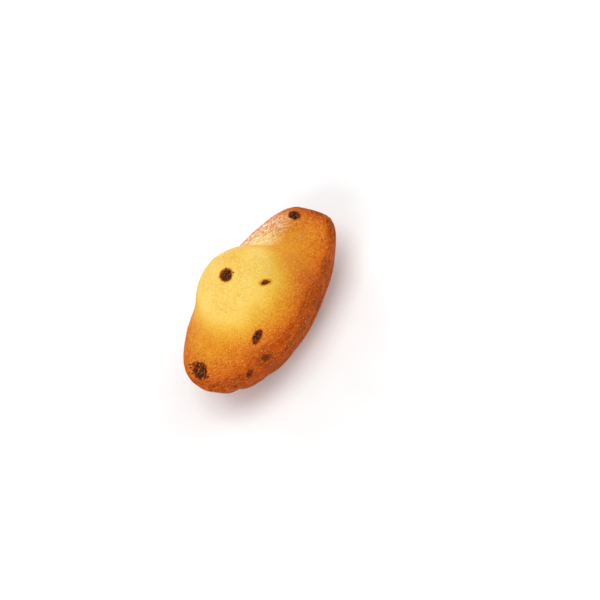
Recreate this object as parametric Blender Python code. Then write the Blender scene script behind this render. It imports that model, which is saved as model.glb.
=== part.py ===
"""Chocolate-chip madeleine: a small shell-shaped sponge cake, lying on its shell side.

The cake is one closed solid. Its lower side is a ribbed scallop shell, and its upper side is the
smooth face with the round hump that puffs up in the oven. Sizes are in metres. X runs from the
blunt hinge end (-X) to the round fan end (+X), Y runs across, and Z is up. The origin is on the
surface the cake rests on, under the middle of its box.
"""

import math

import bmesh
import bpy

# Outline of the rim, seen from above
LENGTH = 0.0750
WIDTH = 0.0462
WIDEST_AT = 0.22  # where the cake is widest, in half lengths from the middle
HINGE_TAPER = 0.33  # share of the width lost at the hinge end
HINGE_TAPER_POWER = 1.5
FAN_TAPER = 0.04  # share of the width lost at the fan end
HINGE_SQUARENESS = 3.7  # exponent of the superellipse: 2 is round, more is squarer
FAN_SQUARENESS = 2.2

# Lower side, the shell
SHELL_DEPTH = 0.0148  # rim to the lowest point, before the foot is flattened
SHELL_FULLNESS = 2.4  # more keeps the depth further out
SHELL_WALL_POWER = 0.59  # less makes the wall steeper at the rim
FOOT_CUT = 0.0004  # how much of the lowest point is flattened to stand on

# Ribs of the shell
RIB_COUNT = 11
RIB_HEIGHT = 0.00055  # crest or groove from the mean surface
RIB_START = (0.12, 0.42)  # ribs grow between these shares of the way out to the rim
RIB_END = (0.94, 1.00)  # and die out here, except at the scalloped fan end
RIB_HINGE = (-0.95, -0.45)  # ribs rise between these places, in half lengths
SCALLOP_SPAN = (0.30, 0.75)  # the rim turns from plain to scalloped here, in half lengths
LEVEL_SPAN = (0.97, 1.00)  # the ribs turn to point straight out between these shares

# Upper side, the crown and the hump
EDGE_RISE = 0.0009  # height of the rounded edge above the rim
EDGE_POWER = 24  # more rounds a narrower edge
CROWN_HEIGHT = 0.0018  # gentle rise of the whole upper side
HUMP_HEIGHT = 0.0173
HUMP_X = 0.0024  # the hump's middle, a little towards the fan end
HUMP_RADII = (0.0177, 0.0202)  # along X and along Y, to halfway down its side
HUMP_SOFTNESS = 0.13  # width of the hump's side, as a share of its radius
HUMP_ROUNDING = 0.23  # how much lower the hump's shoulder is than its top
HUMP_RIM_POWER = 8  # how quickly the hump's foot dies out at the rim

# Mesh
FACES_ACROSS = 28  # faces along each edge of the cube that is blown up into the cake; even

CRUST_COLOUR = (0.72, 0.33, 0.06, 1.0)
CRUST_ROUGHNESS = 0.6


def clear_scene():
    """Remove every object, so that the script always starts from nothing."""
    for thing in list(bpy.data.objects):
        bpy.data.objects.remove(thing)


def smooth_step(low, high, value):
    """0 below low, 1 above high, and a smooth rise between them."""
    share = min(max((value - low) / (high - low), 0.0), 1.0)
    return share * share * (3.0 - 2.0 * share)


def width_share(along):
    """The width at a place along the cake, as a share of the full width. along is -1 to 1."""
    from_widest = along - WIDEST_AT
    if from_widest < 0.0:
        return 1.0 - HINGE_TAPER * (-from_widest / (1.0 + WIDEST_AT)) ** HINGE_TAPER_POWER
    return 1.0 - FAN_TAPER * (from_widest / (1.0 - WIDEST_AT)) ** 2


def rim_point(angle):
    """The rim's x and y in the direction of an angle round the middle."""
    across, along = math.sin(angle), math.cos(angle)
    squareness = FAN_SQUARENESS if along > 0.0 else HINGE_SQUARENESS
    reach = (abs(along) ** squareness + abs(across) ** squareness) ** (-1.0 / squareness)
    x = reach * along
    y = reach * across * width_share(x)
    return x * LENGTH / 2.0, y * WIDTH / 2.0


def hump_height(x, y):
    """Height of the hump above the crown: a dome with a rounded top and a soft foot."""
    out = math.hypot((x - HUMP_X) / HUMP_RADII[0], y / HUMP_RADII[1])
    dome = 1.0 - HUMP_ROUNDING * min(out, 1.0) ** 2
    side = 1.0 / (1.0 + math.exp((out - 1.0) / HUMP_SOFTNESS))
    return HUMP_HEIGHT * dome * side


def upper_height(x, y, share):
    """Height above the rim on the upper side. share is 0 in the middle and 1 at the rim."""
    edge = EDGE_RISE * math.sqrt(1.0 - share**EDGE_POWER)
    crown = CROWN_HEIGHT * (1.0 - share**2)
    return edge + crown + hump_height(x, y) * (1.0 - share**HUMP_RIM_POWER)


def lower_depth(share):
    """Depth below the rim on the shell side."""
    return SHELL_DEPTH * (1.0 - share**SHELL_FULLNESS) ** SHELL_WALL_POWER


def rib_wave(x, y):
    """1 on a crest and -1 in a groove. The ribs spread from the hinge end and run on to the fan."""
    along = x / (LENGTH / 2.0)
    half_spread = WIDTH / 2.0 * width_share(min(along, WIDEST_AT))
    round_shell = math.asin(min(max(y / half_spread, -1.0), 1.0)) / (math.pi / 2.0)
    return math.cos(RIB_COUNT * math.pi * round_shell)


def rib_strength(x, share):
    """0 where the shell is plain and 1 where the ribs are full."""
    along = x / (LENGTH / 2.0)
    scalloped = smooth_step(*SCALLOP_SPAN, along)
    at_rim = smooth_step(*RIB_END, share)
    at_edge = 1.0 - at_rim * (1.0 - scalloped)
    return smooth_step(*RIB_START, share) * smooth_step(*RIB_HINGE, along) * at_edge


def blow_up_cube(mesh):
    """Turn an empty mesh into a round ball of even faces, with a ring of edges round its middle."""
    bmesh.ops.create_cube(mesh, size=2.0)
    bmesh.ops.subdivide_edges(mesh, edges=mesh.edges[:], cuts=FACES_ACROSS - 1, use_grid_fill=True)
    for vert in mesh.verts:
        vert.co = [math.tan(value * math.pi / 4.0) for value in vert.co]
        vert.co.normalize()


def shape_cake(mesh):
    """Move each point of the ball to its place on the cake.

    Returns how far out towards the rim each point of the shell is, and 0 for the upper side.
    """
    shares = {}
    for vert in mesh.verts:
        share = min(math.hypot(vert.co.x, vert.co.y), 1.0)
        rim_x, rim_y = rim_point(math.atan2(vert.co.y, vert.co.x))
        x, y = share * rim_x, share * rim_y
        upper = vert.co.z > 0.0
        shares[vert] = 0.0 if upper else share
        vert.co = (x, y, upper_height(x, y, share) if upper else -lower_depth(share))
    return shares


def press_ribs(mesh, shares):
    """Raise the crests and sink the grooves of the shell along its own normals, level at the rim."""
    mesh.normal_update()
    moves = {}
    for vert, share in shares.items():
        outward = vert.normal.copy()
        outward.z *= 1.0 - smooth_step(*LEVEL_SPAN, share)
        wave = RIB_HEIGHT * rib_strength(vert.co.x, share) * rib_wave(vert.co.x, vert.co.y)
        moves[vert] = outward.normalized() * wave
    for vert, move in moves.items():
        vert.co += move


def flatten_foot(mesh):
    """Cut the lowest point of the shell to a small flat spot."""
    foot = min(vert.co.z for vert in mesh.verts) + FOOT_CUT
    for vert in mesh.verts:
        vert.co.z = max(vert.co.z, foot)


def centre_on_origin(mesh):
    """Put the middle of the cake's box over the origin, with its foot at height zero."""
    points = [vert.co.copy() for vert in mesh.verts]
    middle_x = (min(p.x for p in points) + max(p.x for p in points)) / 2.0
    middle_y = (min(p.y for p in points) + max(p.y for p in points)) / 2.0
    foot = min(p.z for p in points)
    bmesh.ops.translate(mesh, verts=mesh.verts[:], vec=(-middle_x, -middle_y, -foot))


def crust_material():
    """Golden baked crust."""
    material = bpy.data.materials.new("golden_crust")
    material.use_nodes = True
    shader = material.node_tree.nodes["Principled BSDF"]
    shader.inputs["Base Color"].default_value = CRUST_COLOUR
    shader.inputs["Roughness"].default_value = CRUST_ROUGHNESS
    shader.inputs["Metallic"].default_value = 0.0
    return material


def make_madeleine():
    """The whole cake, as one object with one material."""
    work = bmesh.new()
    blow_up_cube(work)
    shares = shape_cake(work)
    press_ribs(work, shares)
    flatten_foot(work)
    centre_on_origin(work)
    bmesh.ops.triangulate(work, faces=work.faces[:])
    bmesh.ops.recalc_face_normals(work, faces=work.faces[:])

    mesh = bpy.data.meshes.new("madeleine")
    work.to_mesh(mesh)
    work.free()
    mesh.shade_smooth()
    mesh.materials.append(crust_material())
    return bpy.data.objects.new("madeleine", mesh)


def main():
    clear_scene()
    collection = bpy.data.collections.new("Madeleine cake")
    bpy.context.scene.collection.children.link(collection)
    collection.objects.link(make_madeleine())


main()
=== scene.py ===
"""A chocolate-chip madeleine lying on a pale floor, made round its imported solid.

The crust follows the solid's own form, with the relief of a baked skin and a pit over each chip. The
chips lie half buried in the pits, and the broken ones have splinters round them.

Sizes are in metres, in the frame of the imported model: X runs from the blunt hinge end of the cake to
its round fan end, Y across it, and Z up from the surface it lies on.
"""

import math

import bmesh
import bpy
import numpy as np
from mathutils import Matrix, Vector, kdtree, noise


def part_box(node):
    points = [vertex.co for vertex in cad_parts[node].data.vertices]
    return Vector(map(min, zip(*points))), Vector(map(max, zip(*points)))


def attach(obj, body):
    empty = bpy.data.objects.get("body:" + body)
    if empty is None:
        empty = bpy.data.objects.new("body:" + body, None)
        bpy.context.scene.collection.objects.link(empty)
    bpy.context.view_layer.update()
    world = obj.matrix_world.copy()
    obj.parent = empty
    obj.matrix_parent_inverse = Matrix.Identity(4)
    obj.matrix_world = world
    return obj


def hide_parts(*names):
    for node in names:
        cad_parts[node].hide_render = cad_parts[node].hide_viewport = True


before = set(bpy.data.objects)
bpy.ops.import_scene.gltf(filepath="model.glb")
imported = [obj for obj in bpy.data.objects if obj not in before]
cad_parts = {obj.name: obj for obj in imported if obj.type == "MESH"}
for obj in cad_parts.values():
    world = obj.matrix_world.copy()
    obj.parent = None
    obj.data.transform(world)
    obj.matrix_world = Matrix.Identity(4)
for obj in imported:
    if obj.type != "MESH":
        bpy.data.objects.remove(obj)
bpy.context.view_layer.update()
LOW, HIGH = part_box("madeleine")
MM = 0.001

# The cake's form. It is the solid's own, so every length here comes from the solid's box.
RIB_HEIGHT = 0.55 * MM
HALF_LENGTH = (HIGH.x - LOW.x - RIB_HEIGHT) / 2.0
HALF_WIDTH = 1.012 * (HIGH.y - LOW.y) / 2.0  # the outline before its two ends narrow it
MIDDLE_X = -RIB_HEIGHT / 2.0  # the scallops of the fan end push the box's middle off the outline's
RIM_HEIGHT = 0.4188 * (HIGH.z - LOW.z)
WIDEST_AT = 0.22  # in half lengths from the middle
HINGE_TAPER, HINGE_TAPER_POWER = 0.33, 1.5
FAN_TAPER = 0.04
HINGE_SQUARENESS, FAN_SQUARENESS = 3.7, 2.2
SHELL_FULLNESS, SHELL_WALL_POWER = 2.4, 0.59
FOOT_CUT = 0.4 * MM
SHELL_DEPTH = RIM_HEIGHT + FOOT_CUT
EDGE_RISE, EDGE_POWER = 0.9 * MM, 24
CROWN_HEIGHT = 1.8 * MM
HUMP_HEIGHT = HIGH.z - RIM_HEIGHT - EDGE_RISE - CROWN_HEIGHT
HUMP_X = 2.4 * MM
HUMP_RADII = (17.7 * MM, 20.2 * MM)
HUMP_SOFTNESS, HUMP_ROUNDING, HUMP_RIM_POWER = 0.13, 0.23, 8
RIB_COUNT = 11
RIM_SCALLOPS = 0.15  # how deep the rim's own scallops are beside the ribs
RIB_START, RIB_END = (0.12, 0.42), (0.94, 1.0)
RIB_HINGE, SCALLOP_SPAN = (-0.95, -0.45), (0.30, 0.75)

# The crust's mesh and its relief
CRUST_FACES = 120  # along each edge of the cube that is blown up into the crust
PROFILE_STEPS = 400
SWELL, SWELL_SIZE = 0.34 * MM, 12.0 * MM
DIMPLES, DIMPLE_SIZE = 0.09 * MM, 4.2 * MM
GRAIN, GRAIN_SIZE = 0.06 * MM, 0.95 * MM
FINE_GRAIN, FINE_GRAIN_SIZE = 0.035 * MM, 0.55 * MM
WRINKLES, WRINKLE_PITCH, WRINKLE_LENGTH = 0.11 * MM, 1.1 * MM, 3.2 * MM
WRINKLED_SPAN, SHELL_WRINKLES = (0.45, 0.75), 0.35  # where wrinkles grow, and the shell's share
CALM_SPAN, CALMING = (0.75, 0.35), 0.55  # the grain is weaker towards the top of the hump
FOOT_SPAN = (0.05, 0.35)  # the foot is flat up to here
BUTTER_CRINKLE = 0.5  # how much stronger the relief is under butter
GRAIN_RANGE = 0.2 * MM  # the relief that counts as 1 in the grain mask
PORES, PORE_RADIUS, PORE_DEPTH = 900, (0.30 * MM, 0.70 * MM), (0.03 * MM, 0.13 * MM)

# Seeds, one for each use of noise or chance
SWELL_SEED, DIMPLE_SEED, GRAIN_SEED, FINE_GRAIN_SEED, WRINKLE_SEED = 1, 2, 3, 4, 5
RIPPLE_SEED, WAVE_SEED, BUTTER_SEED, PORE_SEED = 8, 9, 11, 21
SPECK_SEED, SPECK_SHAPE_SEED = 5, 40

# How brown the crust is baked, from 0 to 1: more outside the hump and at the rim, with painted shade on
# the +Y side and painted light on the -Y side
PALE_MIDDLE = (4.0 * MM, 1.5 * MM)
HUMP_EDGE, HUMP_BROWNING = (0.66, 1.16), 0.40
RIM_BROWNING, RIM_START = 0.47, 0.25
EDGE_BROWNING, EDGE_SPAN, EDGE_SHADE_LEAN = 0.165, (0.88, 1.0), 0.85  # the last few millimetres, with more painted shade on the +Y side and less on the -Y side
LIGHT_AND_SHADE_LEAN, FAN_SHADE_LEAN = (0.03, 0.22), 0.75  # painted light and shade, along and across the cake: darker on the +Y side, lighter on the -Y side, and darker still at the fan end of the +Y side
SHADE_LEAN_START, SHADE_LEAN_SPAN = 0.5, 0.55  # where the painted light and shade start, from the hump's middle outwards
FAR_DELAY, FAR_DELAY_SPAN = 0.4, (8.0 * MM, -8.0 * MM)  # the painted light and shade start further out on the -Y side, by the hinge
SHELL_BROWNING_AND_SHADE, SHELL_SPAN = 1.0, (1.0, 0.975)  # the shell side's, darker with painted shade as well as baked colour, reached just under the rim
BROWNING_PATCHES = [  # x, y and reach of each, and how much browner it is
    (-18.5 * MM, -10.5 * MM, 9.5 * MM, -0.26),
    (-5.0 * MM, -5.5 * MM, 10.0 * MM, 0.11),
]
PATCH_FADE = (0.2, 1.0)

# Where the crust is glossy and buttered, and where a sheen is painted on it
BUTTER_AND_SHEEN_PATCH = (-20.0 * MM, -14.0 * MM, 18.0 * MM, 12.0 * MM)  # its middle and half sizes
BUTTER_FADE, BUTTER_RIM_FADE = (0.35, 1.15), (1.0, 0.92)
BUTTER_WAVE, BUTTER_WAVE_SIZE = 0.16, 3.5 * MM

# Chips: x, y, half length, half width (mm), the way the length runs (degrees), raggedness (0 for a
# clean chip, 1 for one broken up by crust) and how milky a film of batter makes it
CHIPS_ABOVE = [
    (3.5, -0.8, 2.5, 2.20, 60.0, 0.22, 0.0),
    (0.2, 12.8, 1.20, 0.64, 137.0, 0.50, 0.3),
    (15.8, 14.0, 1.9, 1.05, 5.0, 1.00, 0.0),
    (20.1, 17.4, 0.80, 0.45, 120.0, 0.20, 0.40),
    (26.8, 14.4, 0.78, 0.54, 10.0, 0.40, 0.3),
    (32.0, -4.5, 3.8, 2.00, 67.0, 1.00, 0.0),
    (-33.4, -4.9, 2.1, 1.30, 80.0, 0.45, 0.0),
    (-7.5, -15.5, 1.9, 1.3, 20.0, 0.60, 0.2),
]
CHIPS_BELOW = [
    (-22.0, 8.5, 2.4, 1.7, 30.0, 0.5, 0.2),
    (-11.0, -10.5, 2.6, 2.0, 100.0, 0.8, 0.0),
    (-4.0, 13.5, 1.8, 1.4, 60.0, 0.4, 0.1),
    (9.0, 3.5, 1.5, 1.1, 10.0, 0.9, 0.8),
    (13.5, -14.0, 2.6, 1.8, 150.0, 0.7, 0.0),
    (20.5, 9.5, 2.7, 2.1, 80.0, 0.85, 0.1),
    (27.0, -3.5, 2.2, 1.6, 120.0, 0.6, 0.3),
    (-27.5, -3.0, 1.5, 1.2, 0.0, 0.5, 0.5),
]
CHIP_SINK = 0.04 * MM  # how far a chip's top lies below the crust
CHIP_THICKNESS = 0.7  # of its half width
CHIP_OVERLAP = 1.35  # a chip runs on this far under the crust, where its pit's edge is at 1
CHIP_DETAIL, SPECK_DETAIL = 5, 2
LUMP_SWELL, LUMP_SWELL_RATE = 0.16, 1.3  # a lump's broad unevenness, as shares of its size
LUMP_ROUGHNESS, LUMP_ROUGH_SIZE = 0.11, 0.50 * MM
LUMP_FINE_ROUGHNESS, LUMP_FINE_SIZE = 0.06, 0.25 * MM
LUMP_FLATNESS = 0.5  # 1 for a round top, less for a flatter one

# The pits over the chips. A chip's edge is at 1, and further out is more.
PIT_REACH = 2.4  # in half lengths of the chip, as far as anything changes
PIT_DEPTH, PIT_WALL = 0.42 * MM, (0.86, 1.04)
LIP, LIP_AT, LIP_WIDTH = 0.14 * MM, 1.15, 0.20
EDGE_WAVE, EDGE_WAVE_RAGGED, EDGE_WAVE_SIZE = 0.08, 0.20, 2.3 * MM
EDGE_RIPPLE, EDGE_RIPPLE_RAGGED, EDGE_RIPPLE_SIZE = 0.08, 0.26, 0.95 * MM
HALO, HALO_START, MILKY_HALO = 1.0 * MM, 0.94, 0.8  # how far the crust is stained round a chip
CRUMB_SPAN = (1.1, 2.0)
MILKY_PALENESS = 0.55

# Splinters of chocolate round the ragged chips
SPECKS, SPECK_SIZE = 46, (0.18 * MM, 0.36 * MM)
SPECK_SCATTER = 0.30
SPECK_SHAPE, SPECK_SINK = (1.0, 0.8, 0.6), 0.25

# Where the camera stands: round the cake, above the level and rolled, as seen from its middle
CAMERA_ROUND, CAMERA_ABOVE, CAMERA_ROLL = 155.2, 47.2, -39.9
CAMERA_DISTANCE = 0.60
CAMERA_LENS = 104.8
AIM_RIGHT, AIM_DOWN = 14.0 * MM, 0.8 * MM

# The studio. Each light's name, direction from the cake, size, power (W) and colour
FLOOR_SIZE = 6.0
LIGHT_DISTANCE = 0.9
LIGHTS = [
    ("back_light", (-0.32, -0.90, 0.30), 0.50, 3.7, (1.0, 0.99, 0.98)),
    ("hinge_light", (-0.78, 0.42, 0.46), 0.60, 3.3, (1.0, 1.0, 1.0)),
    ("fan_light", (0.88, 0.24, 0.41), 0.60, 4.9, (1.0, 1.0, 1.0)),
    ("top_light", (0.0, 0.0, 1.0), 0.80, 3.3, (1.0, 1.0, 1.0)),
]
STUDIO_BRIGHTNESS = 0.34


def smooth_step(low, high, value):
    """0 below low, 1 above high and a smooth rise between, for numbers and arrays."""
    share = np.clip((value - low) / (high - low), 0.0, 1.0)
    return share * share * (3.0 - 2.0 * share)


# ---------------------------------------------------------------- form of the cake


def width_share(along):
    """The width at a place along the cake, as a share of the full width. along is -1 to 1."""
    from_widest = along - WIDEST_AT
    hinge = 1.0 - HINGE_TAPER * (np.maximum(-from_widest, 0.0) / (1.0 + WIDEST_AT)) ** HINGE_TAPER_POWER
    fan = 1.0 - FAN_TAPER * (np.maximum(from_widest, 0.0) / (1.0 - WIDEST_AT)) ** 2
    return hinge * fan


def rim_points(angle):
    """The rim's x and y in the direction of each angle round the middle."""
    across, along = np.sin(angle), np.cos(angle)
    squareness = np.where(along > 0.0, FAN_SQUARENESS, HINGE_SQUARENESS)
    reach = (np.abs(along) ** squareness + np.abs(across) ** squareness) ** (-1.0 / squareness)
    x, y = reach * along, reach * across
    return x * HALF_LENGTH, y * width_share(x) * HALF_WIDTH


def hump_height(x, y):
    """Height of the hump above the crown: a dome with a rounded top and a soft foot."""
    out = np.hypot((x - HUMP_X) / HUMP_RADII[0], y / HUMP_RADII[1])
    dome = 1.0 - HUMP_ROUNDING * np.minimum(out, 1.0) ** 2
    side = 1.0 / (1.0 + np.exp((out - 1.0) / HUMP_SOFTNESS))
    return HUMP_HEIGHT * dome * side


def upper_height(x, y, share):
    """Height above the rim on the upper side. share is 0 in the middle and 1 at the rim."""
    edge = EDGE_RISE * np.sqrt(1.0 - share**EDGE_POWER)
    crown = CROWN_HEIGHT * (1.0 - share**2)
    return edge + crown + hump_height(x, y) * (1.0 - share**HUMP_RIM_POWER)


def lower_depth(share):
    """Depth below the rim on the shell side."""
    return SHELL_DEPTH * (1.0 - share**SHELL_FULLNESS) ** SHELL_WALL_POWER


def rib_wave(x, y):
    """1 on a crest and -1 in a groove. The ribs spread from the hinge end and run on to the fan."""
    half_spread = HALF_WIDTH * width_share(np.minimum(x / HALF_LENGTH, WIDEST_AT))
    round_shell = np.arcsin(np.clip(y / half_spread, -1.0, 1.0)) / (math.pi / 2.0)
    return np.cos(RIB_COUNT * math.pi * round_shell)


def rib_strength(x, share):
    """0 where the shell is plain and 1 where the ribs are full."""
    along = x / HALF_LENGTH
    scalloped = RIM_SCALLOPS * smooth_step(*SCALLOP_SPAN, along)
    at_edge = 1.0 - smooth_step(*RIB_END, share) * (1.0 - scalloped)
    return smooth_step(*RIB_START, share) * smooth_step(*RIB_HINGE, along) * at_edge


def even_shares(steps, upper):
    """Shares of the way out to the rim that are evenly spaced along the cake's curved surface."""
    share = np.linspace(0.0, 1.0, PROFILE_STEPS)
    reach = share * (HALF_LENGTH + HALF_WIDTH) / 2.0
    height = upper_height(reach, 0.0, share) if upper else -lower_depth(share)
    length = np.concatenate([[0.0], np.cumsum(np.hypot(np.diff(reach), np.diff(height)))])
    return np.interp(steps * length[-1], length, share)


# ---------------------------------------------------------------- the crust's mesh


def blown_up_cube(faces_across):
    """A ball of even square faces, as a bmesh, and the places of its points as an array."""
    work = bmesh.new()
    bmesh.ops.create_cube(work, size=2.0)
    bmesh.ops.subdivide_edges(work, edges=work.edges[:], cuts=faces_across - 1, use_grid_fill=True)
    grid = np.array([vert.co for vert in work.verts])
    bent = np.tan(grid * math.pi / 4.0)
    return work, bent / np.linalg.norm(bent, axis=1, keepdims=True)


def cake_points(ball):
    """The smooth cake: places, shares of the way out, and which points are on the upper side."""
    upper = ball[:, 2] > 0.0
    steps = np.arccos(np.clip(np.abs(ball[:, 2]), 0.0, 1.0)) / (math.pi / 2.0)
    share = np.where(upper, even_shares(steps, True), even_shares(steps, False))
    share = np.clip(share, 0.0, 1.0)
    rim_x, rim_y = rim_points(np.arctan2(ball[:, 1], ball[:, 0]))
    x, y = share * rim_x, share * rim_y
    z = np.where(upper, upper_height(x, y, share), -lower_depth(share))
    return np.stack([x, y, z], axis=1), share, upper


def set_points(work, places):
    """Move a mesh's points to new places. Returns their normals there."""
    for vert, place in zip(work.verts, places):
        vert.co = place
    work.normal_update()
    return np.array([vert.normal for vert in work.verts])


def noise_at(places, size, seed):
    """Smooth noise between about -1 and 1, in lumps of a size, which may differ along x, y and z."""
    start = Vector((3.7, 11.3, 7.9)) * seed
    return np.array([noise.noise(Vector(place) + start) for place in places / np.array(size)])


def press_ribs(places, normals, share, upper):
    """The shell's ribs, pushed along its normals and level at the rim."""
    strength = np.where(upper, 0.0, rib_strength(places[:, 0], share))
    outward = normals.copy()
    outward[:, 2] *= 1.0 - smooth_step(0.97, 1.0, share)
    outward /= np.linalg.norm(outward, axis=1, keepdims=True)
    wave = RIB_HEIGHT * strength * rib_wave(places[:, 0], places[:, 1])
    return places + outward * wave[:, None]


def round_the_rim(places):
    """Places in a space where rings round the cake are straight: in from the rim, and along it."""
    x, y = places[:, 0] / HALF_LENGTH, places[:, 1] / HALF_WIDTH
    out = np.hypot(x, y)
    steepness = np.hypot(x / HALF_LENGTH, y / HALF_WIDTH) / np.maximum(out, 0.1)
    inward = (1.0 - out) / steepness + np.abs(places[:, 2])
    turn = np.linspace(-math.pi, math.pi, 721)
    run = np.cumsum(np.hypot(HALF_LENGTH * np.sin(turn), HALF_WIDTH * np.cos(turn)))
    run *= turn[1] - turn[0]
    along = np.interp(np.arctan2(y, x), turn, run / run[-1]) * 2.0 * math.pi
    radius = run[-1] / (2.0 * math.pi)
    return np.stack([inward, np.cos(along) * radius, np.sin(along) * radius], axis=1)


def relief(places, share, upper):
    """How far each point of the crust stands above the smooth form."""
    swell = SWELL * noise_at(places, SWELL_SIZE, SWELL_SEED)
    dimples = DIMPLES * noise_at(places, DIMPLE_SIZE, DIMPLE_SEED)
    grain = GRAIN * noise_at(places, GRAIN_SIZE, GRAIN_SEED)
    grain = grain + FINE_GRAIN * noise_at(places, FINE_GRAIN_SIZE, FINE_GRAIN_SEED)
    ring_size = (WRINKLE_PITCH, WRINKLE_LENGTH, WRINKLE_LENGTH)
    rings = noise_at(round_the_rim(places), ring_size, WRINKLE_SEED)
    brim = smooth_step(*WRINKLED_SPAN, share) * np.where(upper, 1.0, SHELL_WRINKLES)
    calm_top = 1.0 - CALMING * np.where(upper, smooth_step(*CALM_SPAN, share), 0.0)
    at_foot = np.where(upper, 1.0, smooth_step(*FOOT_SPAN, share))
    crinkled = 1.0 + BUTTER_CRINKLE * butter_and_sheen_of(places, share, upper)
    return (swell + dimples) * at_foot + (grain * calm_top + WRINKLES * brim * rings) * crinkled


def prick_pores(height, places):
    """Small round pits where bubbles opened."""
    rng = np.random.default_rng(PORE_SEED)
    tree = point_tree(places)
    picks = rng.choice(len(places), PORES, replace=False)
    pits = np.zeros(len(places))
    for pick in picks:
        radius = rng.uniform(*PORE_RADIUS)
        depth = rng.uniform(*PORE_DEPTH)
        for _, index, distance in tree.find_range(Vector(places[pick]), radius):
            pits[index] = max(pits[index], depth * (1.0 - (distance / radius) ** 2))
    return height - pits


def point_tree(places):
    """A tree that finds the points near a place."""
    tree = kdtree.KDTree(len(places))
    for index, place in enumerate(places):
        tree.insert(Vector(place), index)
    tree.balance()
    return tree


def nearest_point(places, wanted, upper, on_top):
    """The index of the point of one side that lies over or under a place in plan."""
    gap = np.hypot(places[:, 0] - wanted[0], places[:, 1] - wanted[1])
    gap[upper != on_top] = np.inf
    return int(np.argmin(gap))


class Seat:
    """Where a chip sits: its middle on the crust, the way out, along and across, and its sizes."""

    def __init__(self, centre, outward, chip):
        _, _, length, width, turn, self.ragged, self.milky = chip
        self.centre = centre
        self.outward = outward
        heading = Vector((math.cos(math.radians(turn)), math.sin(math.radians(turn)), 0.0))
        self.across = outward.cross(heading).normalized()
        self.along = self.across.cross(outward)
        self.length = length * MM
        self.width = width * MM

    def reach(self, place):
        """How far out a place is, where the chip's edge is at 1."""
        offset = place - self.centre
        return math.hypot(offset.dot(self.along) / self.length, offset.dot(self.across) / self.width)


def seat_chips(places, normals, upper):
    """A seat on the crust for each chip of both sides."""
    seats = []
    for chips, on_top in ((CHIPS_ABOVE, True), (CHIPS_BELOW, False)):
        for chip in chips:
            wanted = (chip[0] * MM - MIDDLE_X, chip[1] * MM)
            index = nearest_point(places, wanted, upper, on_top)
            seats.append(Seat(Vector(places[index]), Vector(normals[index]), chip))
    return seats


def sink_pits(height, places, seats):
    """Pits that open over the chips.

    Returns the new heights, a stain (1 over a chip and fading out round it), crumbs of chocolate
    (1 where a chip is broken up) and a pale rim round the milky chips.
    """
    tree = point_tree(places)
    stain = np.zeros(len(places))
    crumbs = np.zeros(len(places))
    pale = np.zeros(len(places))
    edge_wave = noise_at(places, EDGE_WAVE_SIZE, WAVE_SEED)
    edge_ripple = noise_at(places, EDGE_RIPPLE_SIZE, RIPPLE_SEED)
    sunk = height.copy()
    for seat in seats:
        wave = EDGE_WAVE + EDGE_WAVE_RAGGED * seat.ragged
        ripple = EDGE_RIPPLE + EDGE_RIPPLE_RAGGED * seat.ragged
        for place, index, _ in tree.find_range(seat.centre, seat.length * PIT_REACH):
            out = seat.reach(place) + wave * edge_wave[index]
            out += ripple * edge_ripple[index]
            inside = 1.0 - smooth_step(*PIT_WALL, out)
            lip = math.exp(-(((out - LIP_AT) / LIP_WIDTH) ** 2))
            sunk[index] += LIP * lip * (1.0 - inside) - PIT_DEPTH * inside
            beyond = (out - HALO_START) * seat.width
            halo = (1.0 - smooth_step(0.0, HALO, beyond)) * (1.0 - MILKY_HALO * seat.milky)
            stain[index] = max(stain[index], halo)
            broken = seat.ragged * (1.0 - smooth_step(*CRUMB_SPAN, out))
            crumbs[index] = max(crumbs[index], broken)
            pale[index] = max(pale[index], lip * seat.milky)
    return sunk, stain, crumbs, pale


def browning_and_shade_of(places, share, upper):
    """0 on the pale top of the hump, to 1 on the brown rim and shell, with painted shade on the +Y side
    and on the shell and painted light on the -Y side.
    """
    x, y = places[:, 0], places[:, 1]
    out = np.hypot((x - PALE_MIDDLE[0]) / HUMP_RADII[0], (y - PALE_MIDDLE[1]) / HUMP_RADII[1])
    hump = HUMP_BROWNING * smooth_step(*HUMP_EDGE, out)
    rim = RIM_BROWNING * (np.maximum(share - RIM_START, 0.0) / (1.0 - RIM_START)) ** 2
    # Painted light and shade: darker on the +Y side, which stands for its shade, and lighter on the -Y
    # side
    shaded_side = np.where(y > 0.0, 1.0, 0.0)
    painted_light_and_shade = LIGHT_AND_SHADE_LEAN[0] * x / HALF_LENGTH
    painted_light_and_shade = painted_light_and_shade + LIGHT_AND_SHADE_LEAN[1] * y / HALF_WIDTH * (1.0 + FAN_SHADE_LEAN * shaded_side * x / HALF_LENGTH)
    far_start = SHADE_LEAN_START + FAR_DELAY * smooth_step(*FAR_DELAY_SPAN, x)
    start = np.where(y > 0.0, SHADE_LEAN_START, far_start)
    off_hump = smooth_step(start, start + SHADE_LEAN_SPAN, out)
    # More painted shade at the edge of the +Y side and less on the -Y side
    edge = EDGE_BROWNING * smooth_step(*EDGE_SPAN, share) * (1.0 + EDGE_SHADE_LEAN * y / HALF_WIDTH)
    above = hump + rim + painted_light_and_shade * off_hump + edge
    for patch_x, patch_y, reach, browner in BROWNING_PATCHES:
        beside = np.hypot(x - patch_x, y - patch_y) / reach
        above += browner * (1.0 - smooth_step(*PATCH_FADE, beside))
    above = np.clip(above, 0.0, 1.0)
    # The shell side darkens to its own colour, which is painted shade as well as baked colour
    below = above + (SHELL_BROWNING_AND_SHADE - above) * smooth_step(*SHELL_SPAN, share)
    return np.where(upper, above, np.minimum(below, 1.0))


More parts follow.
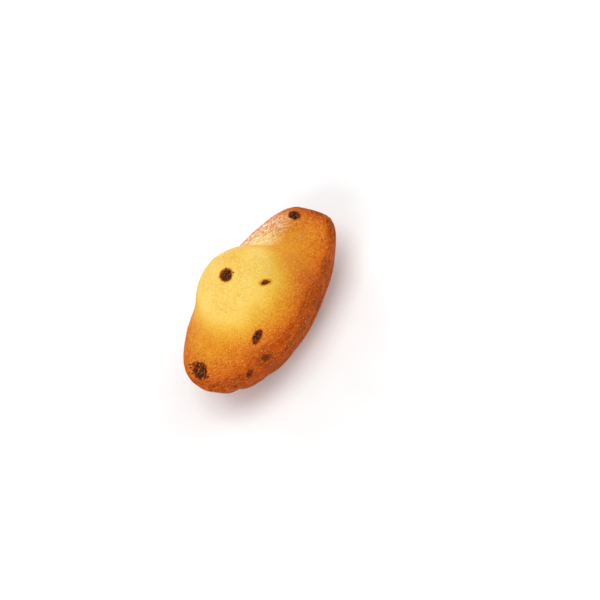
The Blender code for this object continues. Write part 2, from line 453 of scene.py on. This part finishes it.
def butter_and_sheen_of(places, share, upper):
    """1 where the crust is glossy and buttered, with a painted sheen: behind the hump, towards the
    hinge.
    """
    middle_x, middle_y, half_length, half_width = BUTTER_AND_SHEEN_PATCH
    beside = np.hypot((places[:, 0] - middle_x) / half_length, (places[:, 1] - middle_y) / half_width)
    beside += BUTTER_WAVE * noise_at(places, BUTTER_WAVE_SIZE, BUTTER_SEED)
    inside_rim = smooth_step(*BUTTER_RIM_FADE, share)
    return np.where(upper, inside_rim * (1.0 - smooth_step(*BUTTER_FADE, beside)), 0.0)


def mesh_object(name, work, material):
    """A smooth-shaded piece made from a bmesh, which is used up."""
    mesh = bpy.data.meshes.new(name)
    work.to_mesh(mesh)
    work.free()
    mesh.shade_smooth()
    mesh.materials.append(material)
    piece = bpy.data.objects.new(name, mesh)
    bpy.context.scene.collection.objects.link(piece)
    return piece


def write_mask(piece, name, values):
    """Keep one number for each point of a piece, for its material to read."""
    mask = piece.data.attributes.new(name, "FLOAT", "POINT")
    mask.data.foreach_set("value", np.asarray(values, np.float32))


def write_places(piece, name, places):
    """Keep another place for each point of a piece, for its material to read."""
    kept = piece.data.attributes.new(name, "FLOAT_VECTOR", "POINT")
    kept.data.foreach_set("vector", np.asarray(places, np.float32).ravel())


def in_frame(places):
    """From the outline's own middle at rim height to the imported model's frame."""
    return places + np.array([MIDDLE_X, 0.0, RIM_HEIGHT])


def make_crust(material):
    """The whole cake's skin. Returns it, the chips' seats, its points and their normals."""
    work, ball = blown_up_cube(CRUST_FACES)
    places, share, upper = cake_points(ball)
    normals = set_points(work, places)
    places = press_ribs(places, normals, share, upper)
    normals = set_points(work, places)
    seats = seat_chips(places, normals, upper)
    height = relief(places, share, upper)
    height = prick_pores(height, places)
    fine_height = height - SWELL * noise_at(places, SWELL_SIZE, SWELL_SEED)
    grain = np.clip(fine_height / GRAIN_RANGE, -1.0, 1.0)
    height, stain, crumbs, pale = sink_pits(height, places, seats)
    rough = places + normals * height[:, None]
    rough[:, 2] = np.maximum(rough[:, 2], -RIM_HEIGHT)
    final = in_frame(rough)
    normals = set_points(work, final)
    crust = mesh_object("crust", work, material)
    browning_and_shade = browning_and_shade_of(places, share, upper) - MILKY_PALENESS * pale
    # How brown the crust is baked, with painted shade on the +Y side and the shell and painted light on
    # the -Y side
    write_mask(crust, "browning_and_shade", np.clip(browning_and_shade, 0.0, 1.0))
    write_mask(crust, "stain", stain)
    write_mask(crust, "crumbs", crumbs)
    # The relief's height, which the crust's colour uses for painted shade in the hollows and painted
    # light on the tops
    write_mask(crust, "grain", grain)
    # Where the crust is buttered: glossy, its relief crinkled, and a sheen painted on it
    write_mask(crust, "butter_and_painted_sheen", butter_and_sheen_of(places, share, upper))
    write_mask(crust, "brim", np.where(upper, smooth_step(0.42, 0.62, share), 1.0))
    write_places(crust, "round_rim", round_the_rim(places))
    return crust, seats, final, normals


# ---------------------------------------------------------------- chocolate


def lump(work, centre, axes, sizes, detail, seed):
    """A rough lump of chocolate: axes are its own X, Y and Z, and sizes its half sizes along them."""
    made = bmesh.ops.create_icosphere(work, subdivisions=detail, radius=1.0)["verts"]
    turn = Matrix(axes).transposed()
    start = Vector((1.3, 4.1, 2.7)) * seed
    for vert in made:
        shape = vert.co.copy()
        broad = LUMP_SWELL * noise.noise(shape * LUMP_SWELL_RATE + start)
        rough = LUMP_ROUGHNESS * noise.noise(shape * sizes[0] / LUMP_ROUGH_SIZE + start)
        rough += LUMP_FINE_ROUGHNESS * noise.noise(shape * sizes[0] / LUMP_FINE_SIZE + start)
        shape *= 1.0 + broad + rough
        shape.z = math.copysign(abs(shape.z) ** LUMP_FLATNESS, shape.z)
        vert.co = centre + turn @ Vector([part * size for part, size in zip(shape, sizes)])
        vert.co.z = max(vert.co.z, 0.0)
    return len(made)


def make_chips(seats, material):
    """All the chips, half buried in the crust."""
    work = bmesh.new()
    milky, ragged = [], []
    for seed, seat in enumerate(seats, start=1):
        thick = seat.width * CHIP_THICKNESS
        place = Vector(in_frame(np.array(seat.centre))) - seat.outward * (CHIP_SINK + thick)
        axes = (seat.along, seat.across, seat.outward)
        sizes = (seat.length * CHIP_OVERLAP, seat.width * CHIP_OVERLAP, thick)
        count = lump(work, place, axes, sizes, CHIP_DETAIL, seed)
        milky += [seat.milky] * count
        ragged += [seat.ragged] * count
    chips = mesh_object("chips", work, material)
    write_mask(chips, "milky", milky)
    write_mask(chips, "ragged", ragged)
    return chips


def make_specks(seats, points, normals, material):
    """Splinters of chocolate stuck in the crust round the ragged chips."""
    rng = np.random.default_rng(SPECK_SEED)
    tree = point_tree(points)
    work = bmesh.new()
    weights = np.array([seat.ragged**2 * seat.length for seat in seats])
    for seed in range(SPECKS):
        seat = seats[rng.choice(len(seats), p=weights / weights.sum())]
        turn = rng.uniform(0.0, 2.0 * math.pi)
        away = 1.0 + abs(rng.normal(0.0, SPECK_SCATTER))
        aside = seat.along * math.cos(turn) * seat.length + seat.across * math.sin(turn) * seat.width
        _, index, _ = tree.find(Vector(in_frame(np.array(seat.centre + aside * away))))
        size = rng.uniform(*SPECK_SIZE)
        place, way = Vector(points[index]), Vector(normals[index])
        side = way.orthogonal().normalized()
        axes = (side, way.cross(side), way)
        sizes = [size * part for part in SPECK_SHAPE]
        centre = place - way * size * SPECK_SINK
        lump(work, centre, axes, sizes, SPECK_DETAIL, SPECK_SHAPE_SEED + seed)
    return mesh_object("chocolate_specks", work, material)


# ---------------------------------------------------------------- materials


def add(tree, kind, **settings):
    """A node with its properties set."""
    node = tree.nodes.new(kind)
    for name, value in settings.items():
        setattr(node, name, value)
    return node


def feed(tree, node, **sources):
    """Set a node's inputs by name: a socket is linked, and a plain value is written."""
    for name, source in sources.items():
        socket = node.inputs[name.replace("_", " ")]
        if isinstance(source, bpy.types.NodeSocket):
            tree.links.new(source, socket)
        else:
            socket.default_value = source
    return node


def combine(tree, operation, first, second, clamp=False):
    """A Math node's result."""
    node = add(tree, "ShaderNodeMath", operation=operation, use_clamp=clamp)
    for socket, source in zip(node.inputs, (first, second)):
        if isinstance(source, bpy.types.NodeSocket):
            tree.links.new(source, socket)
        else:
            socket.default_value = source
    return node.outputs[0]


def times(tree, first, second, clamp=False):
    """The product of two numbers, either of which may be a socket."""
    return combine(tree, "MULTIPLY", first, second, clamp)


def plus(tree, first, second, clamp=False):
    """The sum of two numbers, either of which may be a socket."""
    return combine(tree, "ADD", first, second, clamp)


def blend(tree, share, first, second):
    """A Mix node's number."""
    node = add(tree, "ShaderNodeMix", data_type="FLOAT")
    for socket, source in zip(node.inputs, (share, None, first, second)):
        if isinstance(source, bpy.types.NodeSocket):
            tree.links.new(source, socket)
    return node.outputs[0]


def stretch(tree, place, share):
    """A place round the rim with the way along the ring shrunk, so that noise runs out along it.

    It is turned as well, so that the ring never runs along the noise's own grid.
    """
    node = add(tree, "ShaderNodeMapping")
    tree.links.new(place, node.inputs["Vector"])
    node.inputs["Scale"].default_value = (1.0, share, share)
    node.inputs["Rotation"].default_value = (0.7, 0.5, 0.3)
    return node.outputs["Vector"]


def cover(tree, share, under, over):
    """A Mix node's colour: over lies on under, as much as share says."""
    node = add(tree, "ShaderNodeMix", data_type="RGBA", blend_type="MIX")
    for socket, source in ((node.inputs[0], share), (node.inputs[6], under), (node.inputs[7], over)):
        if isinstance(source, bpy.types.NodeSocket):
            tree.links.new(source, socket)
        else:
            socket.default_value = source
    return node.outputs[2]


def spread(tree, source, low, high, to_low=0.0, to_high=1.0):
    """A Map Range node's result, clamped."""
    node = add(tree, "ShaderNodeMapRange")
    names = ("Value", "From Min", "From Max", "To Min", "To Max")
    for name, value in zip(names, (source, low, high, to_low, to_high)):
        if isinstance(value, bpy.types.NodeSocket):
            tree.links.new(value, node.inputs[name])
        else:
            node.inputs[name].default_value = value
    return node.outputs["Result"]


def srgb(red, green, blue):
    """A colour given as it looks on a screen, from 0 to 255, as the linear colour that shaders take."""
    def linear(part):
        part /= 255.0
        return part / 12.92 if part <= 0.04045 else ((part + 0.055) / 1.055) ** 2.4
    return (linear(red), linear(green), linear(blue), 1.0)


def ramp(tree, source, stops):
    """A colour ramp through (place, colour) stops."""
    node = add(tree, "ShaderNodeValToRGB")
    elements = node.color_ramp.elements
    while len(elements) < len(stops):
        elements.new(0.5)
    for element, (place, colour) in zip(elements, stops):
        element.position = place
        element.color = colour
    tree.links.new(source, node.inputs["Fac"])
    return node.outputs["Color"]


def new_group(name, inputs, outputs):
    """An empty node group, with its named inputs (and their first values) and outputs."""
    tree = bpy.data.node_groups.new(name, "ShaderNodeTree")
    for label, kind, value in inputs:
        socket = tree.interface.new_socket(label, in_out="INPUT", socket_type=kind)
        if value is not None:
            socket.default_value = value
    for label, kind in outputs:
        tree.interface.new_socket(label, in_out="OUTPUT", socket_type=kind)
    return tree, add(tree, "NodeGroupInput"), add(tree, "NodeGroupOutput")


def use_group(tree, group, **values):
    """Place a node group in a material."""
    return feed(tree, add(tree, "ShaderNodeGroup", node_tree=group), **values)


def grain_group():
    """Soft mottling in two sizes, as a mask about one half and a height for bumps."""
    tree, given, result = new_group(
        "grain",
        [
            ("Place", "NodeSocketVector", None),
            ("Per Metre", "NodeSocketFloat", 900.0),
            ("Roughness", "NodeSocketFloat", 0.6),
        ],
        [("Mask", "NodeSocketFloat"), ("Height", "NodeSocketFloat")],
    )
    coarse = feed(
        tree,
        add(tree, "ShaderNodeTexNoise"),
        Vector=given.outputs["Place"],
        Scale=given.outputs["Per Metre"],
        Detail=1.5,
        Roughness=given.outputs["Roughness"],
    )
    finer = times(tree, given.outputs["Per Metre"], 2.7)
    fine = feed(
        tree,
        add(tree, "ShaderNodeTexNoise"),
        Vector=given.outputs["Place"],
        Scale=finer,
        Detail=2.0,
    )
    tree.links.new(spread(tree, coarse.outputs["Fac"], 0.37, 0.63), result.inputs["Mask"])
    both = plus(tree, coarse.outputs["Fac"], times(tree, fine.outputs["Fac"], 0.6))
    tree.links.new(both, result.inputs["Height"])
    return tree


def flecks_group():
    """Scattered small flecks: 1 in a fleck and 0 between them."""
    tree, given, result = new_group(
        "flecks",
        [
            ("Place", "NodeSocketVector", None),
            ("Per Metre", "NodeSocketFloat", 700.0),
            ("Amount", "NodeSocketFloat", 0.3),
            ("Softness", "NodeSocketFloat", 0.05),
        ],
        [("Mask", "NodeSocketFloat")],
    )
    lumps = feed(
        tree,
        add(tree, "ShaderNodeTexNoise"),
        Vector=given.outputs["Place"],
        Scale=given.outputs["Per Metre"],
        Detail=1.5,
        Roughness=0.5,
    )
    start = combine(tree, "SUBTRACT", 0.80, times(tree, given.outputs["Amount"], 0.45))
    end = plus(tree, start, given.outputs["Softness"])
    tree.links.new(spread(tree, lumps.outputs["Fac"], start, end), result.inputs["Mask"])
    return tree


def dots_group():
    """Scattered round dots of many sizes: 1 in a dot and 0 between them, with a wider halo as well."""
    tree, given, result = new_group(
        "dots",
        [
            ("Place", "NodeSocketVector", None),
            ("Per Metre", "NodeSocketFloat", 1200.0),
            ("Amount", "NodeSocketFloat", 0.5),
        ],
        [("Mask", "NodeSocketFloat"), ("Halo", "NodeSocketFloat")],
    )
    cells = feed(
        tree,
        add(tree, "ShaderNodeTexVoronoi"),
        Vector=given.outputs["Place"],
        Scale=given.outputs["Per Metre"],
    )
    chance = add(tree, "ShaderNodeSeparateColor")
    tree.links.new(cells.outputs["Color"], chance.inputs["Color"])
    least = combine(tree, "SUBTRACT", 1.0, given.outputs["Amount"])
    radius = spread(tree, chance.outputs["Red"], least, 1.0, 0.0, 0.50)
    inner = combine(tree, "SUBTRACT", radius, 0.12)
    outer = plus(tree, radius, 0.22)
    drawn = combine(tree, "GREATER_THAN", radius, 0.01)
    mask = spread(tree, cells.outputs["Distance"], inner, radius, 1.0, 0.0)
    halo = spread(tree, cells.outputs["Distance"], inner, outer, 1.0, 0.0)
    tree.links.new(times(tree, mask, drawn), result.inputs["Mask"])
    tree.links.new(times(tree, halo, drawn), result.inputs["Halo"])
    return tree


def new_material(name):
    """A material, its node tree and its shader."""
    material = bpy.data.materials.new(name)
    material.use_nodes = True
    tree = material.node_tree
    return material, tree, tree.nodes["Principled BSDF"]


def mask_of(tree, name):
    """A number that write_mask kept on the piece."""
    return add(tree, "ShaderNodeAttribute", attribute_name=name).outputs["Fac"]


# Colours by how brown the crust is baked, from pale to nearly black
CRUST_COLOURS = [
    (0.00, (0.87, 0.645, 0.145, 1.0)),
    (0.14, (0.81, 0.505, 0.065, 1.0)),
    (0.32, (0.71, 0.325, 0.008, 1.0)),
    (0.51, (0.64, 0.185, 0.002, 1.0)),
    (0.66, (0.56, 0.105, 0.001, 1.0)),
    (0.78, (0.48, 0.064, 0.001, 1.0)),
    (0.90, (0.33, 0.032, 0.001, 1.0)),
    (1.00, (0.17, 0.016, 0.001, 1.0)),
]
# The thin dry skin over it, paler than the crust at every stage
VEIL_COLOURS = [
    (0.00, (0.91, 0.79, 0.42, 1.0)),
    (0.30, (0.85, 0.63, 0.13, 1.0)),
    (0.50, (0.79, 0.44, 0.050, 1.0)),
    (0.75, (0.69, 0.26, 0.026, 1.0)),
    (1.00, (0.40, 0.09, 0.008, 1.0)),
]


# Colours as they look on a screen, from 0 to 255
# The last of these is a painted sheen: a near-white highlight on the buttered patch
BURNT_COLOUR, CRISP_COLOUR, PAINTED_SHEEN_COLOUR = (146, 46, 8), (250, 194, 124), (255, 243, 218)
STAIN_COLOUR, CRUMB_COLOUR = (84, 30, 8), (56, 18, 4)
CHOCOLATE_COLOURS = [
    (0.0, (28, 9, 2)),
    (0.5, (66, 28, 7)),
    (1.0, (132, 70, 28)),
]
FILM_COLOUR, HOLE_COLOUR = (146, 70, 34), (192, 112, 44)
BUMP_DEPTH = 0.15 * MM


def bake_and_shade_unevenly(tree, browning_and_shade, streaks, patches):
    """The baked colour with streaks along the rim, broad patches, and painted shade in the grain's
    hollows with painted light on its tops.
    """
    unevenness = spread(tree, browning_and_shade, 0.15, 0.80, 0.01, 0.12)
    streaky = times(tree, combine(tree, "SUBTRACT", 0.5, streaks), unevenness)
    patchy = times(tree, combine(tree, "SUBTRACT", patches, 0.5), 0.07)
    # Painted shade in the hollows of the grain and painted light on its tops
    painted_grain_light_and_shade = times(tree, mask_of(tree, "grain"), times(tree, unevenness, -0.5))
    return plus(tree, plus(tree, plus(tree, browning_and_shade, streaky), patchy), painted_grain_light_and_shade)


def pale_veil(tree, browning_and_shade, mottle, stain):
    """How much of the thin dry skin shows: none near a chip, and less where the crust is brownest."""
    veil = times(tree, mottle, spread(tree, stain, 0.0, 0.6, 0.52, 0.10))
    veil = times(tree, veil, spread(tree, browning_and_shade, 0.25, 0.55, 1.0, 1.25))
    return times(tree, veil, spread(tree, browning_and_shade, 0.62, 0.82, 1.0, 0.7))


def crust_material(grain, flecks, dots):
    """Baked sponge: pale yellow on the hump, golden on the brim and brown on the shell, with painted
    light and shade and a painted sheen.
    """
    material, tree, shader = new_material("baked_crust")
    place = add(tree, "ShaderNodeTexCoord").outputs["Object"]
    round_rim = add(tree, "ShaderNodeAttribute", attribute_name="round_rim").outputs["Vector"]
    stretched = stretch(tree, round_rim, 0.62)
    drawn_out = stretch(tree, round_rim, 0.38)
    brim = mask_of(tree, "brim")
    butter_and_sheen = mask_of(tree, "butter_and_painted_sheen")
    stain = mask_of(tree, "stain")
    browning_and_shade = spread(tree, mask_of(tree, "browning_and_shade"), 0.0, 1.0, 0.13, 0.90)

    on_hump = use_group(tree, grain, Place=place, Per_Metre=1500.0, Roughness=0.8)
    on_brim = use_group(tree, grain, Place=stretched, Per_Metre=1900.0, Roughness=0.8)
    mottle = blend(tree, brim, on_hump.outputs["Mask"], on_brim.outputs["Mask"])
    height = blend(tree, brim, on_hump.outputs["Height"], on_brim.outputs["Height"])
    patches = use_group(tree, grain, Place=place, Per_Metre=170.0, Roughness=0.5)
    streaks = use_group(tree, grain, Place=drawn_out, Per_Metre=900.0, Roughness=0.6)
    burnt = use_group(tree, flecks, Place=stretched, Per_Metre=800.0, Amount=0.56, Softness=0.12)
    crisp = use_group(tree, flecks, Place=stretched, Per_Metre=1500.0, Amount=0.56, Softness=0.10)
    crumbs = use_group(tree, dots, Place=place, Per_Metre=1050.0, Amount=0.75)
    broken = spread(tree, mask_of(tree, "crumbs"), 0.38, 0.68)

    # The baked colour, with painted shade and light in the grain, scorched round the chips and burnt in
    # flecks near the rim
    baked = bake_and_shade_unevenly(tree, browning_and_shade, streaks.outputs["Mask"], patches.outputs["Mask"])
    baked = plus(tree, baked, times(tree, stain, 0.42))
    scorched = times(tree, times(tree, crumbs.outputs["Halo"], broken), 0.45)
    colour = ramp(tree, plus(tree, baked, scorched, clamp=True), CRUST_COLOURS)
    burnt_share = times(tree, burnt.outputs["Mask"], spread(tree, browning_and_shade, 0.62, 0.85))
    colour = cover(tree, times(tree, burnt_share, 0.7), colour, srgb(*BURNT_COLOUR))

    # The pale skin over it, its crisp flecks, and a painted sheen on the buttered patch
    veil = pale_veil(tree, browning_and_shade, mottle, stain)
    colour = cover(tree, veil, colour, ramp(tree, browning_and_shade, VEIL_COLOURS))
    crisp_share = times(tree, crisp.outputs["Mask"], spread(tree, browning_and_shade, 0.25, 0.50, 0.0, 0.20))
    colour = cover(tree, times(tree, crisp_share, mottle), colour, srgb(*CRISP_COLOUR))
    # A painted sheen: near-white highlight streaks laid on the buttered patch
    film_and_painted_sheen = times(tree, spread(tree, streaks.outputs["Mask"], 0.45, 1.0), butter_and_sheen)
    fine_painted_sheen = times(tree, spread(tree, mottle, 0.45, 1.0), butter_and_sheen)
    film_and_painted_sheen = times(tree, plus(tree, film_and_painted_sheen, fine_painted_sheen), 0.50, clamp=True)
    colour = cover(tree, film_and_painted_sheen, colour, srgb(*PAINTED_SHEEN_COLOUR))

    # Chocolate melted into the crust, and crumbs of it
    melted = times(tree, combine(tree, "POWER", stain, 3.0), 0.75)
    colour = cover(tree, melted, colour, srgb(*STAIN_COLOUR))
    crumb_share = times(tree, times(tree, crumbs.outputs["Mask"], broken), 0.92)
    colour = cover(tree, crumb_share, colour, srgb(*CRUMB_COLOUR))

    bump = feed(tree, add(tree, "ShaderNodeBump"), Strength=0.2, Distance=BUMP_DEPTH, Height=height)
    feed(
        tree,
        shader,
        Base_Color=colour,
        Roughness=spread(tree, mottle, 0.0, 1.0, 0.40, 0.64),
        Normal=bump.outputs["Normal"],
        Coat_Weight=times(tree, spread(tree, mottle, 0.35, 0.75, 0.0, 0.6), butter_and_sheen),
        Metallic=0.0,
    )
    shader.inputs["Coat Roughness"].default_value = 0.25
    shader.inputs["Subsurface Weight"].default_value = 0.15
    shader.inputs["Subsurface Radius"].default_value = (1.0, 0.45, 0.18)
    shader.inputs["Subsurface Scale"].default_value = 0.0008
    shader.inputs["Specular IOR Level"].default_value = 0.045
    return material


def chocolate_material(grain, dots):
    """Dark baked chocolate, with crust showing through the chips that are broken up."""
    material, tree, shader = new_material("dark_chocolate")
    place = add(tree, "ShaderNodeTexCoord").outputs["Object"]
    mottle = use_group(tree, grain, Place=place, Per_Metre=1700.0, Roughness=0.65)
    stops = [(share, srgb(*shade)) for share, shade in CHOCOLATE_COLOURS]
    colour = ramp(tree, mottle.outputs["Mask"], stops)
    film_and_painted_sheen = times(tree, mask_of(tree, "milky"), 0.60)
    colour = cover(tree, film_and_painted_sheen, colour, srgb(*FILM_COLOUR))
    holes = use_group(tree, dots, Place=place, Per_Metre=1250.0, Amount=0.85)
    open_share = times(tree, combine(tree, "POWER", mask_of(tree, "ragged"), 2.0), 0.9)
    open_share = times(tree, open_share, holes.outputs["Mask"])
    colour = cover(tree, open_share, colour, srgb(*HOLE_COLOUR))
    bump = feed(
        tree,
        add(tree, "ShaderNodeBump"),
        Strength=0.7,
        Distance=BUMP_DEPTH,
        Height=mottle.outputs["Height"],
    )
    rough = spread(tree, mottle.outputs["Mask"], 0.0, 1.0, 0.40, 0.62)
    feed(tree, shader, Base_Color=colour, Roughness=rough, Normal=bump.outputs["Normal"], Metallic=0.0)
    shader.inputs["Specular IOR Level"].default_value = 0.03
    return material


def floor_material(grain):
    """Plain pale card."""
    material, tree, shader = new_material("pale_floor")
    place = add(tree, "ShaderNodeTexCoord").outputs["Object"]
    mottle = use_group(tree, grain, Place=place, Per_Metre=60.0, Roughness=0.5)
    shades = [(0.0, (0.93, 0.93, 0.93, 1.0)), (1.0, (0.95, 0.95, 0.95, 1.0))]
    colour = ramp(tree, mottle.outputs["Mask"], shades)
    feed(tree, shader, Base_Color=colour, Roughness=0.8, Metallic=0.0)
    return material


# ---------------------------------------------------------------- stage


def make_floor(material):
    """A wide level floor under the cake."""
    bpy.ops.mesh.primitive_plane_add(size=FLOOR_SIZE)
    floor = bpy.context.object
    floor.name = "floor"
    floor.data.materials.append(material)


def soft_light(name, direction, size, power, colour):
    """A square area light that shines on the cake from a direction."""
    data = bpy.data.lights.new(name, "AREA")
    data.size = size
    data.energy = power
    data.color = colour
    light = bpy.data.objects.new(name, data)
    way = Vector(direction).normalized()
    light.location = Vector((0.0, 0.0, RIM_HEIGHT)) + way * LIGHT_DISTANCE
    light.rotation_euler = way.to_track_quat("Z", "Y").to_euler()
    bpy.context.scene.collection.objects.link(light)


def make_lights():
    """Soft lights from four sides and an even white surround."""
    for light in LIGHTS:
        soft_light(*light)
    world = bpy.data.worlds.new("studio")
    world.use_nodes = True
    background = world.node_tree.nodes["Background"]
    background.inputs["Color"].default_value = (1.0, 1.0, 1.0, 1.0)
    background.inputs["Strength"].default_value = STUDIO_BRIGHTNESS
    bpy.context.scene.world = world
    bpy.context.scene.view_settings.view_transform = "Standard"


def make_camera():
    """A camera that looks down on the fan end and one side, with the cake's middle left of its own."""
    round_it, above, roll = (math.radians(a) for a in (CAMERA_ROUND, CAMERA_ABOVE, CAMERA_ROLL))
    level = Vector((math.cos(round_it), math.sin(round_it), 0.0))
    back = Vector((math.sin(round_it), -math.cos(round_it), 0.0)) * math.cos(above)
    back.z = math.sin(above)
    right = math.cos(roll) * level + math.sin(roll) * back.cross(level)
    up = back.cross(right)
    middle = Vector((MIDDLE_X, 0.0, RIM_HEIGHT))
    place = middle + back * CAMERA_DISTANCE
    back = (place - middle - right * AIM_RIGHT + up * AIM_DOWN).normalized()
    right = up.cross(back).normalized()
    up = back.cross(right)
    data = bpy.data.cameras.new("camera")
    data.lens = CAMERA_LENS
    data.clip_start = 0.01
    camera = bpy.data.objects.new("camera", data)
    camera.matrix_world = Matrix.Translation(place) @ Matrix((right, up, back)).transposed().to_4x4()
    bpy.context.scene.collection.objects.link(camera)
    bpy.context.scene.camera = camera


def main():
    """Make the cake's pieces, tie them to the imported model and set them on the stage."""
    grain, flecks, dots = grain_group(), flecks_group(), dots_group()
    crust, seats, points, normals = make_crust(crust_material(grain, flecks, dots))
    chocolate = chocolate_material(grain, dots)
    chips = make_chips(seats, chocolate)
    specks = make_specks(seats, points, normals, chocolate)
    for piece in (crust, chips, specks):
        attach(piece, "root")
    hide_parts("madeleine")
    make_floor(floor_material(grain))
    make_lights()
    make_camera()


main()
